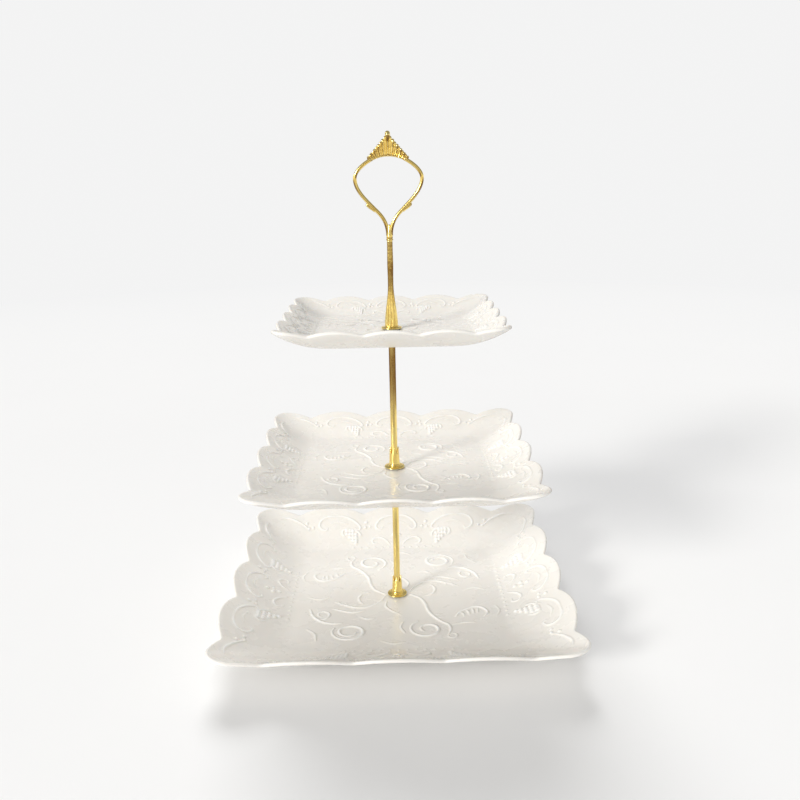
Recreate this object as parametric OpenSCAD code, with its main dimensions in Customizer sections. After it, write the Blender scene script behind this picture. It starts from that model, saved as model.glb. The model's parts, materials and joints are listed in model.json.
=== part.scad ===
// Three-tier cake stand: square porcelain plates with scalloped rims on a gilt
// column that screws together, with a crowned loop handle on top.
// The origin is the centre of the bottom plate's foot, and +Z is up.

/* [Tiers] */
// Width of the bottom plate across its side lobes
bottom_w = 252; // [236:1:262]
// Width of the middle plate across its side lobes
middle_w = 203; // [190:1:215]
// Width of the top plate across its side lobes
top_w = 154; // [146:1:166]
// Height from one plate's floor to the next
tier_pitch = 105; // [90:1:130]
// Height of the bottom plate's floor above the table
floor_h = 10; // [9.6:0.1:14]

/* [Plates] */
// Thickness of a plate's flat floor
floor_t = 4; // [3.6:0.1:4.4]
// Thickness of the flange between the floor and the rim
flange_t = 3; // [2.4:0.1:3.4]
// Thickness of the rounded lip
lip_t = 2.4; // [1.8:0.1:3]
// Rise of the bottom plate's rim above its floor
bottom_rise = 19.4; // [14:0.1:24]
// Rise of the middle plate's rim above its floor
middle_rise = 13.4; // [11:0.1:18]
// Rise of the top plate's rim above its floor
top_rise = 11.4; // [9:0.1:16]
// Width of the bottom plate's well, where the flange starts
bottom_well_w = 156; // [140:1:164]
// Width of the middle plate's well
middle_well_w = 136; // [120:1:142]
// Width of the top plate's well
top_well_w = 106; // [96:1:112]
// Depth of the notch between two lobes, as a share of the plate's half-width
lobe_share = 0.048; // [0.02:0.002:0.06]
// Height of a lobe's crest above the rim's mean line
rim_wave = 1.2; // [0.4:0.1:1.8]
// Diameter of the hole drilled through each plate
plate_bore_d = 8; // [6:0.1:9]

/* [Column] */
// Diameter of the two rods
rod_d = 4.8; // [4.6:0.1:5.2]
// Diameter of the screw thread
thread_d = 4; // [3.5:0.1:4]
// Advance of the thread in one turn
thread_pitch = 0.7; // [0.5:0.05:1]
// Turns from tight until the thread lets go
thread_turns = 10; // [6:1:10]
// Diameter of the gilt disc on each plate
disc_d = 15; // [13:0.1:18]
// Diameter of the clear pads each side of a plate
pad_d = 13; // [12:0.1:16]
// Height of a rod's leafed foot
calyx_h = 14; // [13:0.5:18]
// Number of leaves on a rod's foot
calyx_leaves = 4; // [4:2:6]

/* [Handle] */
// Height from the foot of the handle to the loop
stem_h = 60; // [50:1:80]
// Outer width of the finger loop
loop_w = 48.4; // [40:0.2:56]
// Thickness of the loop
loop_t = 2.5; // [2:0.1:3.2]
// Number of flutes round the flared foot of the handle
flute_count = 10; // [6:1:14]
// Number of ribs in the crown
crown_ribs = 11; // [7:2:13]

/* [Hidden] */

PORCELAIN = [0.97, 0.96, 0.93];
GILT = [0.85, 0.65, 0.22];
CLEAR = [0.86, 0.88, 0.86];

$fn = 48;
eps = 0.01;

// Heights of the three floors
middle_z = floor_h + tier_pitch;
top_z = floor_h + 2 * tier_pitch;

// Plate outline: each side has four notches, and a corner lobe joins the outer two
notches = [-0.705, -0.235, 0.235, 0.705];
notch_share = 0.705;
side_steps = 4;
corner_steps = 6;
side_lobe_lift = 2;
corner_lobe_lift = 2.8;
well_corner_share = 0.26;
rim_corner_share = 0.14;

// Plate section
seat_d = 20;
well_dish = 1;
flange_power = 1.5;
flange_stations = [0.25, 0.5, 0.75];
under_stations = [0.75, 0.45, 0.15, 0];
slope_share = 1.12;
foot_share = 0.48;
foot_wall = 3.5;
foot_taper = 0.6;
upper_foot_h = 1.5;

// Clamping stack on each plate
pad_t = 1;
washer_t = 0.8;
washer_d = 12;
disc_t = 1.4;
disc_step_d = 9.4;
disc_edge_t = 0.9;
disc_round = 0.35;
stack_t = pad_t + disc_t;
under_t = floor_t + pad_t + washer_t;
stud_clear = 0.05;
loose_clear = 0.15;

// Thread engagement: the travel, and the last half turn that lets go
rise = thread_pitch * thread_turns;
engaged = rise + thread_pitch / 2;
socket_z = engaged + 0.4;

// Base screw
head_d = 9;
head_h = 2.2;
head_round = 0.6;
cross_w = 1.1;
cross_l = 5;
cross_depth = 1.2;

// Leafed foot of a rod
calyx_skirt_r = 4.3;
calyx_skirt_h = 0.7;
calyx_base_r = 3.9;
calyx_mid_r = 3.55;
calyx_mid_z = 9;
calyx_tip_r = 2.7;
calyx_notch_h = 5.4;
calyx_notch_w = 3.6;

// Handle stem: a flared, fluted foot that runs into a slim neck with a soft swell
stem_foot_r = 4.6;
stem_neck_r = 1.95;
swell_z = 44;
swell_l = 22;
swell_r = 0.15;
flare_h = 30;
flute_depth = 0.55;
flute_fade_z = 24;
stem_steps = 24;
spigot_r = 1.1;
spigot_h = 4.4;
ring_r = 2.4;
ring_h = 1.6;

// Finger loop: each arm is three joined curves from the neck to the crown
loop_z = stem_h + ring_h;
arm_r = loop_t / 2;
arm_x = loop_w / 2 - arm_r;
arm_steps = 12;
arm_sides = 12;
root_r = 2.2;
root_tip_r = 0.9;
nub_r = 0.75;
root_h = 9;
throat = [1.1, loop_z + 1.6];
waist = [9.9, loop_z + 20];
shoulder = [arm_x, loop_z + 40.4];
crown_end = [11.2, loop_z + 53];
nub_end = waist + [4.7, 3.4];

// Crown: ribs that fan out from a focus below an arched base
crown_focus_z = loop_z + 30.4;
crown_base_r = 24.6;
crown_tip_r = 40.2;
crown_half_angle = 28;
crown_side_r = 28.2;
rib_fall = 0.55;
rib_r = 1.15;
rib_foot_r = 0.95;
web_t = 1.5;
bead_r = 1.3;

function mix(a, b, t) = a + (b - a) * t;

// 0 at a lobe's crest and 1 at its notches
function dip(f) = pow(2 * f - 1, 2);

// Point of a rounded corner, an arc length s past the last side notch
function corner_walk(h, r, s) =
    let (straight = (1 - notch_share) * h - r, arc = PI * r / 2)
    s < straight ? [h, notch_share * h + s, 0]
    : s < straight + arc ? let (a = (s - straight) / r * 180 / PI) [h - r + r * cos(a), h - r + r * sin(a), a]
    : [h - r - (s - straight - arc), h, 90];

function side_lobe(h, depth, z, wave, j, f) =
    [h - depth * dip(f), h * mix(notches[j], notches[j + 1], f),
     z + wave * (side_lobe_lift * (1 - dip(f)) - 1)];

function corner_lobe(h, r, depth, z, wave, f) =
    let (length = 2 * ((1 - notch_share) * h - r) + PI * r / 2, p = corner_walk(h, r, f * length))
    [p.x - depth * dip(f) * cos(p.z), p.y - depth * dip(f) * sin(p.z),
     z + wave * (corner_lobe_lift * (1 - dip(f)) - 1)];

function quarter(h, r, depth, z, wave) = concat(
    [for (j = [0:2]) for (k = [0:side_steps - 1]) side_lobe(h, depth, z, wave, j, k / side_steps)],
    [for (k = [0:corner_steps - 1]) corner_lobe(h, r, depth, z, wave, k / corner_steps)]);

function turn(p, a) = [p.x * cos(a) - p.y * sin(a), p.x * sin(a) + p.y * cos(a), p.z];

// Closed outline at half-width h, with corner radius r
function outline(h, r, depth, z, wave) =
    [for (q = [0:3]) for (p = quarter(h, r, depth, z, wave)) turn(p, 90 * q)];

// A square ring inside the well, with no lobes
function plain_ring(h, z) = outline(h, well_corner_share * h, 0, z, 0);

// The round seat that the pads press on, point by point in line with the square rings
function seat_ring(z) =
    [for (p = plain_ring(1, z)) let (a = atan2(p.y, p.x)) [seat_d / 2 * cos(a), seat_d / 2 * sin(a), z]];

// A ring on the flange, t = 0 at the well and 1 at the rim, set in and down
function flange_ring(w, well_w, rise_h, z, t, inset, drop) =
    let (h = mix(well_w, w, t) / 2 - inset,
         r = mix(well_corner_share * well_w, rim_corner_share * w, t) / 2,
         height = z + well_dish + (rise_h - well_dish) * pow(t, flange_power) - drop)
    outline(h, r, lobe_share * w / 2 * t * t, height, rim_wave * t * t);

// Closed skin over a stack of rings, from the top centre round to the underside
module skin(rings) {
    n = len(rings[0]);
    last = len(rings) - 1;
    sides = [for (i = [0:last - 1]) for (k = [0:n - 1])
             let (a = i * n + k, b = i * n + (k + 1) % n) each [[a, b, b + n], [a, b + n, a + n]]];
    top_cap = [for (k = [n - 1:-1:0]) k];
    under_cap = [for (k = [0:n - 1]) last * n + k];
    polyhedron([for (r = rings) each r], concat([top_cap, under_cap], sides));
}

module plate(w, well_w, rise_h, foot_h, z) {
    under = z - floor_t;
    foot = foot_share * w / 2;
    top_rings = concat(
        [seat_ring(z), plain_ring(mix(seat_d, well_w, 0.6) / 2, z + well_dish * 0.36)],
        [for (t = concat([0], flange_stations)) flange_ring(w, well_w, rise_h, z, t, 0, 0)]);
    lip_rings = [
        flange_ring(w, well_w, rise_h, z, 1, lip_t * 0.7, 0),
        flange_ring(w, well_w, rise_h, z, 1, 0, lip_t * 0.3),
        flange_ring(w, well_w, rise_h, z, 1, lip_t * 0.25, lip_t)];
    under_rings = [for (t = under_stations) flange_ring(w, well_w, rise_h, z, t, 0, flange_t * slope_share)];
    foot_rings = [plain_ring(foot, under), plain_ring(foot - foot_taper, under - foot_h),
                  plain_ring(foot - foot_wall, under - foot_h),
                  plain_ring(foot - foot_wall - foot_taper, under), seat_ring(under)];
    color(PORCELAIN) difference() {
        skin(concat(top_rings, lip_rings, under_rings, foot_rings));
        translate([0, 0, under - eps]) cylinder(d = plate_bore_d, h = floor_t + 2 * eps);
    }
}

module bottom_plate() {
    plate(bottom_w, bottom_well_w, bottom_rise, floor_h - floor_t, floor_h);
}

module middle_plate() {
    plate(middle_w, middle_well_w, middle_rise, upper_foot_h, middle_z);
}

module top_plate() {
    plate(top_w, top_well_w, top_rise, upper_foot_h, top_z);
}

module washer(d, t, bore_d) {
    difference() {
        cylinder(d = d, h = t);
        translate([0, 0, -eps]) cylinder(d = bore_d, h = t + 2 * eps);
    }
}

// Soft pad, z is its lower face
module pad(z) {
    color(CLEAR) translate([0, 0, z]) washer(pad_d, pad_t, thread_d + 2 * loose_clear);
}

module under_washer(z) {
    color(GILT) translate([0, 0, z]) washer(washer_d, washer_t, thread_d + 2 * loose_clear);
}

// Stepped disc with a rounded edge, z is its lower face
module disc(z) {
    bore_r = thread_d / 2 + loose_clear;
    edge_r = disc_d / 2;
    step_r = disc_step_d / 2;
    color(GILT) translate([0, 0, z]) rotate_extrude() polygon([
        [bore_r, 0], [edge_r - disc_round, 0], [edge_r, disc_round], [edge_r - disc_round, disc_edge_t],
        [step_r + disc_round, disc_edge_t], [step_r, disc_t], [bore_r, disc_t]]);
}

// Pan-head screw that points up into the lower rod's foot
module base_screw() {
    head_z = floor_h - under_t - head_h;
    head_r = head_d / 2;
    tip_z = floor_h + stack_t + engaged;
    thread_r = thread_d / 2;
    color(GILT) difference() {
        rotate_extrude() polygon([
            [0, head_z], [head_r - head_round, head_z], [head_r, head_z + head_round],
            [head_r, head_z + head_h], [thread_r, head_z + head_h], [thread_r, tip_z - head_round],
            [thread_r - head_round, tip_z], [0, tip_z]]);
        for (a = [0, 90])
            rotate([0, 0, a]) translate([-cross_l / 2, -cross_w / 2, head_z - eps])
                cube([cross_l, cross_w, cross_depth]);
    }
}

// Flared rod foot whose upper edge is cut into pointed leaves
module rod_foot(z) {
    color(GILT) translate([0, 0, z]) difference() {
        rotate_extrude() polygon([
            [thread_d / 2 + stud_clear, 0], [calyx_skirt_r, 0], [calyx_skirt_r, calyx_skirt_h],
            [calyx_base_r, 2 * calyx_skirt_h], [calyx_mid_r, calyx_mid_z], [calyx_tip_r, calyx_h],
            [rod_d / 2, calyx_h], [rod_d / 2, socket_z], [thread_d / 2 + stud_clear, socket_z]]);
        for (k = [0:calyx_leaves / 2 - 1])
            rotate([0, 0, 360 / calyx_leaves * k]) translate([0, calyx_skirt_r + eps, 0])
                rotate([90, 0, 0]) linear_extrude(2 * (calyx_skirt_r + eps)) polygon([
                    [0, calyx_h - calyx_notch_h], [calyx_notch_w / 2, calyx_h + eps],
                    [-calyx_notch_w / 2, calyx_h + eps]]);
    }
}

// Rod from its foot's socket up to the plate above, and its threaded end
module rod(z) {
    seat = z + stack_t + socket_z;
    shoulder = z + tier_pitch - under_t;
    tip = z + tier_pitch + stack_t + engaged;
    rod_r = rod_d / 2;
    thread_r = thread_d / 2;
    color(GILT) rotate_extrude() polygon([
        [0, seat], [rod_r, seat], [rod_r, shoulder], [thread_r, shoulder], [thread_r, tip - head_round],
        [thread_r - head_round, tip], [0, tip]]);
}

// Radius of the handle stem at height s above its foot
function stem_r(s) =
    stem_neck_r
    + (s < flare_h ? (stem_foot_r - stem_neck_r) * (1 + cos(180 * s / flare_h)) / 2 : 0)
    + (abs(s - swell_z) < swell_l / 2 ? swell_r * (1 + cos(360 * (s - swell_z) / swell_l)) / 2 : 0);

// Ring of the stem: flutes are cut between ridges and fade out up the flare
function stem_ring(s) =
    let (cut = flute_depth * max(0, 1 - s / flute_fade_z), n = 4 * flute_count)
    [for (k = [0:n - 1]) let (a = 360 * k / n, r = stem_r(s) - cut * (1 - cos(flute_count * a)) / 2)
     [r * cos(a), r * sin(a), top_z + stack_t + s]];

module handle_stem() {
    base = top_z + stack_t;
    color(GILT) difference() {
        union() {
            skin([for (k = [stem_steps:-1:0]) stem_ring(stem_h * k / stem_steps)]);
            translate([0, 0, base + stem_h - 1]) cylinder(r = spigot_r, h = spigot_h + 1);
        }
        translate([0, 0, base - eps]) cylinder(d = thread_d + 2 * stud_clear, h = socket_z);
    }
}

// Bead between the stem and the loop, threaded on the stem's spigot
module neck_ring() {
    soft = ring_h / 4;
    color(GILT) translate([0, 0, top_z + stack_t + stem_h]) rotate_extrude() polygon([
        [spigot_r, 0], [ring_r - soft, 0], [ring_r, soft], [ring_r, ring_h - soft],
        [ring_r - soft, ring_h], [spigot_r, ring_h]]);
}

// Point of a cubic curve from a to d, with handles b and c
function curve(a, b, c, d, t) =
    pow(1 - t, 3) * a + 3 * pow(1 - t, 2) * t * b + 3 * (1 - t) * t * t * c + pow(t, 3) * d;

// Centre line of one arm: throat to waist, waist to shoulder, shoulder to crown
arm_path = concat(
    [for (k = [0:arm_steps - 1])
     curve(throat, throat + [-0.1, 9.4], waist - [4.6, 4.4], waist, k / arm_steps)],
    [for (k = [0:arm_steps - 1])
     curve(waist, waist + [4.6, 5], shoulder - [0, 8.4], shoulder, k / arm_steps)],
    [for (k = [0:arm_steps])
     curve(shoulder, shoulder + [0, 5], crown_end + [5, -2.6], crown_end, k / arm_steps)]);

// Unit tangent of the arm at its point i
function arm_tangent(i) =
    let (d = arm_path[min(i + 1, len(arm_path) - 1)] - arm_path[max(i - 1, 0)]) d / norm(d);

// Round section of the arm at its point i
function arm_ring(i) =
    let (p = arm_path[i], t = arm_tangent(i))
    [for (k = [0:arm_sides - 1]) let (a = 360 * k / arm_sides, u = arm_r * cos(a), v = arm_r * sin(a))
     [p.x + u * t.y, v, top_z + stack_t + p.y - u * t.x]];

// One arm, with the leaf that grows off its outer side above the waist
module arm() {
    last = len(arm_path) - 1;
    skin([for (i = [last:-1:0]) arm_ring(i)]);
    base = arm_path[arm_steps - 1];
    translate([0, 0, top_z + stack_t]) hull() {
        translate([base.x, 0, base.y]) sphere(r = arm_r, $fn = 16);
        translate([nub_end.x, 0, nub_end.y]) sphere(r = nub_r, $fn = 16);
    }
}

module handle_loop() {
    base = top_z + stack_t + loop_z;
    color(GILT) difference() {
        union() {
            arm();
            mirror([1, 0, 0]) arm();
            translate([0, 0, base]) cylinder(r1 = root_r, r2 = root_tip_r, h = root_h);
        }
        translate([0, 0, base - eps]) cylinder(r = spigot_r, h = spigot_h - ring_h + eps);
    }
}

// Length of the crown's rib at angle a: long in the middle, stepping down each side
function rib_reach(a) = mix(crown_tip_r, crown_side_r, pow(abs(a) / crown_half_angle, rib_fall));

module crown_rib(a) {
    foot_p = crown_base_r * [sin(a), cos(a)];
    tip_p = (rib_reach(a) - rib_r) * [sin(a), cos(a)];
    hull() {
        translate([foot_p.x, 0, foot_p.y]) sphere(r = rib_foot_r, $fn = 16);
        translate([tip_p.x, 0, tip_p.y]) sphere(r = rib_r, $fn = 16);
    }
}

module crown_finial() {
    step = 2 * crown_half_angle / (crown_ribs - 1);
    angles = [for (k = [0:crown_ribs - 1]) k * step - crown_half_angle];
    web = concat([for (a = angles) (rib_reach(a) - rib_r) * [sin(a), cos(a)]],
                 [for (k = [crown_ribs - 1:-1:0]) crown_base_r * [sin(angles[k]), cos(angles[k])]]);
    color(GILT) translate([0, 0, top_z + stack_t + crown_focus_z]) union() {
        for (a = angles) crown_rib(a);
        translate([0, web_t / 2, 0]) rotate([90, 0, 0]) linear_extrude(web_t) polygon(web);
        translate([0, 0, crown_tip_r - bead_r / 2]) sphere(r = bead_r, $fn = 20);
    }
}

module base_under_washer() { under_washer(floor_h - under_t); }
module base_under_pad() { pad(floor_h - floor_t - pad_t); }
module base_pad() { pad(floor_h); }
module base_disc() { disc(floor_h + pad_t); }
module lower_rod_foot() { rod_foot(floor_h + stack_t); }
module lower_rod() { rod(floor_h); }
module middle_under_washer() { under_washer(middle_z - under_t); }
module middle_under_pad() { pad(middle_z - floor_t - pad_t); }
module middle_pad() { pad(middle_z); }
module middle_disc() { disc(middle_z + pad_t); }
module upper_rod_foot() { rod_foot(middle_z + stack_t); }
module upper_rod() { rod(middle_z); }
module top_under_washer() { under_washer(top_z - under_t); }
module top_under_pad() { pad(top_z - floor_t - pad_t); }
module top_pad() { pad(top_z); }
module top_disc() { disc(top_z + pad_t); }

bottom_plate();
middle_plate();
top_plate();
base_screw();
base_under_washer();
base_under_pad();
base_pad();
base_disc();
lower_rod_foot();
lower_rod();
middle_under_washer();
middle_under_pad();
middle_pad();
middle_disc();
upper_rod_foot();
upper_rod();
top_under_washer();
top_under_pad();
top_pad();
top_disc();
handle_stem();
neck_ring();
handle_loop();
crown_finial();
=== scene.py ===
"""Three-tier cake stand: embossed porcelain plates on a gilt column with a crowned loop handle."""
import json
import math
from collections import namedtuple

import bpy
import numpy as np
from mathutils import Matrix, Vector


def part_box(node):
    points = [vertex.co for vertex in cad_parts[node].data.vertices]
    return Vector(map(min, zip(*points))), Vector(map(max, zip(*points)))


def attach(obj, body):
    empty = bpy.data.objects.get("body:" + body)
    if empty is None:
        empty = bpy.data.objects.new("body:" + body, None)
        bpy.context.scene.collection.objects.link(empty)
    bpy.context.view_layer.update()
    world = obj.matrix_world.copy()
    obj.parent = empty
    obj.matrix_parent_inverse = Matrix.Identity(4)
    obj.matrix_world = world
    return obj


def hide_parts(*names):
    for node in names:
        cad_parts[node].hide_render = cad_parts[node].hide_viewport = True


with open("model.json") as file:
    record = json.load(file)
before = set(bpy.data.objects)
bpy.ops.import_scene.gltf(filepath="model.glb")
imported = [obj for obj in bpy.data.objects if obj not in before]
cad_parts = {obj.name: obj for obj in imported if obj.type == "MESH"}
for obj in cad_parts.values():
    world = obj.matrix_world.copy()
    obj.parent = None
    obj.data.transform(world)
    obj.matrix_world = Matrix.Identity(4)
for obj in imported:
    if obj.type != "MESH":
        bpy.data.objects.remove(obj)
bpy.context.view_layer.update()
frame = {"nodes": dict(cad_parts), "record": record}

MM = 0.001
TAU = 2 * math.pi

# ---------------------------------------------------------------- plates: sizes, in mm
Plate = namedtuple("Plate", "node body pad well rise foot cells")
PLATES = [
    Plate("bottom_plate", "bottom_tier", "base_pad", 156, 19.4, 6.0, 54),
    Plate("middle_plate", "middle_tier", "middle_pad", 136, 13.4, 1.5, 50),
    Plate("top_plate", "top_tier", "top_pad", 106, 11.4, 1.5, 42),
]
SPLIT = 4                 # a cell near relief is split this many ways each way
HOLE_CELLS = 2            # rings of cells left out round the hole
HOLE_R = 4.0
SEAT_R = 10.0
NOTCH = 0.705             # outer side notch, as a share of the half-width
LOBE = 0.47               # width of a side lobe, same share
LOBE_DEPTH = 0.048        # depth of a notch, same share
RIM_WAVE = 0.0195         # share of the half-width
SIDE_LIFT, CORNER_LIFT = 2.1, 2.3
WELL_CORNER, RIM_CORNER = 0.26, 0.14
DISH = 1.0
LIP_R = 1.2
LIP_REACH = 1.8           # from the flange's last ring to the lip's outer edge
FLOOR_T = 4.0
UNDER_DROP, LIP_DROP = 3.36, 2.08
FOOT_SHARE, FOOT_WALL, FOOT_TAPER, FOOT_ROUND = 0.48, 3.5, 0.6, 0.5
NOTCH_SOFT = 0.07         # how much of a lobe's edge rounds into the notch
REFERENCE_HALF = 126.0    # the relief below is drawn for this half-width


def mix(a, b, t):
    return a + (b - a) * t


def smooth(t):
    t = np.clip(t, 0, 1)
    return t * t * (3 - 2 * t)


def ring_point(h, r, q):
    """Where share q (-1 to 1) of a side lies on a ring of half-width h and corner radius r.

    Gives x and y on the side that faces +X, the outward angle, the dip (0 at a lobe's crest, 1 at a
    notch) and the height of that lobe's crest."""
    length = h - r + math.pi * r / 4
    s = np.abs(q) * length
    a = np.maximum(0, (s - (h - r)) / r)
    x = h - r + r * np.cos(a)
    y = np.where(a > 0, h - r + r * np.sin(a), s)
    side = (s / h + NOTCH) / LOBE % 1
    corner = (s - NOTCH * h) / (2 * (length - NOTCH * h))
    in_corner = s > NOTCH * h
    g = np.abs(2 * np.where(in_corner, corner, side) - 1)
    soft = 1 - NOTCH_SOFT - (1 - NOTCH_SOFT) / NOTCH_SOFT * (1 - g) ** 2
    dip = np.where(g < 1 - NOTCH_SOFT, g * g, soft)
    sign = np.sign(q) + (q == 0)
    return x, sign * y, sign * a, dip, np.where(in_corner, CORNER_LIFT, SIDE_LIFT)


class PlateShape:
    """The plate's surface as a function of ring and place on the ring, in mm."""

    def __init__(self, plate):
        low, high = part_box(plate.node)
        self.half = (high.x - low.x) / 2 / MM
        self.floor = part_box(plate.pad)[0].z / MM
        self.well = plate.well / 2
        self.rise = plate.rise
        self.foot = plate.foot
        self.top_half = self.half - LIP_REACH
        self.run = self.top_half - self.well
        self.slope_in = 2 * DISH / (self.well - SEAT_R) * self.run

    def place(self, side, q, h, t, z, inset=0.0):
        """Point at half-width h, flange share t and height z. The lobes grow with t squared."""
        r = np.where(t > 0, mix(WELL_CORNER * self.well, RIM_CORNER * self.half, t), WELL_CORNER * h)
        x, y, a, dip, lift = ring_point(h, r, q)
        depth = LOBE_DEPTH * self.half * t * t * dip + inset
        x, y = x - depth * np.cos(a), y - depth * np.sin(a)
        z = z + RIM_WAVE * self.half * t * t * (lift * (1 - dip) - 1)
        circle = 1 - smooth((h - 1.2 * HOLE_R) / (2.2 * SEAT_R))
        x = mix(x, h * np.cos(q * math.pi / 4), circle)
        y = mix(y, h * np.sin(q * math.pi / 4), circle)
        c, s = np.array([1, 0, -1, 0])[side], np.array([0, 1, 0, -1])[side]
        return np.stack([x * c - y * s, x * s + y * c, z], -1)

    def share(self, h):
        return np.maximum(0, (h - self.well) / self.run)

    def flange_height(self, t):
        """Height above the floor at flange share t."""
        return DISH + self.slope_in * t + (self.rise - DISH - self.slope_in) * t ** 1.5

    def top(self, side, q, h):
        t = self.share(h)
        dish = DISH * (np.clip(h - SEAT_R, 0, None) / (self.well - SEAT_R)) ** 2
        return self.place(side, q, h, t, self.floor + np.where(t > 0, self.flange_height(t), dish))

    def lip_angle(self):
        slope = (self.slope_in + 1.5 * (self.rise - DISH - self.slope_in)) / self.run
        return math.atan(slope)


# ---------------------------------------------------------------- relief, in mm on the largest plate
Stroke = namedtuple("Stroke", "points width height")
BOLD, HIGH = 1.2, 1.15    # width and height of every stroke, as a share of what is written below


def spline(points, step=1.4):
    """Catmull-Rom curve through the points."""
    p = np.array(points, float)
    p = np.vstack([2 * p[0] - p[1], p, 2 * p[-1] - p[-2]])
    out = []
    for a, b, c, d in zip(p[:-3], p[1:-2], p[2:-1], p[3:]):
        n = max(2, int(np.hypot(*(c - b)) / step))
        t = np.linspace(0, 1, n, endpoint=False)[:, None]
        out.append(0.5 * (2 * b + (c - a) * t + (2 * a - 5 * b + 4 * c - d) * t ** 2
                          + (3 * b - a - 3 * c + d) * t ** 3))
    return np.vstack(out + [p[-2:-1]])


def curl(cx, cy, rx, ry, start, turns, shrink, n=26):
    """Spiral that winds inwards from the angle start, in degrees. Negative turns run clockwise."""
    t = np.linspace(0, 1, n)
    a = np.radians(start) + TAU * turns * t
    k = 1 - shrink * t
    return np.stack([cx + rx * k * np.cos(a), cy + ry * k * np.sin(a)], -1)


def scroll_strokes():
    """The scrolls of one half of the well. The other half is the same, turned half round."""
    vine = [(9, 0), (14, -4), (18, -8), (21, -16), (23, -27), (27, -36), (32, -43), (37, -48), (38, -55),
            (36, -61)]
    branch = [(38, -48), (44, -46), (50, -45), (56, -45)]
    frond = [(43, -36), (46, -31), (50, -27), (58, -23), (64, -25), (67, -32), (64, -37)]
    tail = [(-9, -2), (-14, -12), (-22, -19), (-31, -20), (-40, -16), (-48, -11)]
    tail_low = [(-25, -24), (-33, -27), (-41, -25), (-49, -21)]
    loop = [(-66, -22), (-63, -32), (-56, -40), (-47, -43), (-41, -42)]
    out = [
        (spline(vine), 1.25, 0.75), (spline(branch), 0.9, 0.5), (spline(frond), 1.15, 0.7),
        (curl(21, -53, 13, 12.5, 118, 1.3, 0.72), 1.25, 0.75),
        (curl(38, -63, 4.5, 4, 90, -0.8, 0.5), 0.9, 0.5),
        (spline(tail), 1.1, 0.6), (spline(tail_low), 1.0, 0.6), (spline(loop), 1.2, 0.7),
        (curl(-35, -55, 13, 12, 150, 1.55, 0.62), 1.2, 0.75),
        (curl(-35, -55, 9.6, 8.6, 200, 0.5, 0.1), 0.8, 0.5),
        (curl(-56, -30, 6.5, 7, 220, 1.1, 0.6), 0.95, 0.55),
        (curl(22, 6, 8, 10, 60, -0.42, 0.1), 1.05, 0.6),
        (spline([(-8, -11), (-9, -18), (-5, -25), (2, -31)]), 0.9, 0.5),
        (spline([(74, -22), (76, -30), (73, -38)]), 0.8, 0.4),
        (spline([(-28, -33), (-23, -37), (-17, -36)]), 0.9, 0.5),
        (spline([(52, 3), (60, 7), (68, 4)]), 0.85, 0.45),
        (spline([(4, -42), (2, -50), (5, -58)]), 0.85, 0.45),
        (spline([(-66, -50), (-60, -57), (-58, -66)]), 0.9, 0.5),
        (spline([(-12, -68), (-4, -72), (5, -70)]), 0.85, 0.45),
    ]
    barbs = ((47, -30, 3.2, -6), (51.5, -27, 2.4, -7), (56, -25, 1, -7.5), (60.5, -25.5, -1.2, -6.5))
    for x, y, dx, dy in barbs:
        out.append((spline([(x, y), (x + dx * 0.6, y + dy * 0.5), (x + dx * 0.7, y + dy)]), 0.85, 0.5))
    leaves = ((26, -33, 6, 1), (28, -38, 6, 3), (-36, -19, -3, 5), (-42, -16, -3, 5))
    for x, y, dx, dy in leaves:
        out.append((spline([(x, y), (x + dx * 0.5, y + dy * 0.2), (x + dx, y + dy)]), 0.8, 0.45))
    return [Stroke(points * sign, width, height) for sign in (1, -1) for points, width, height in out]


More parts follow.
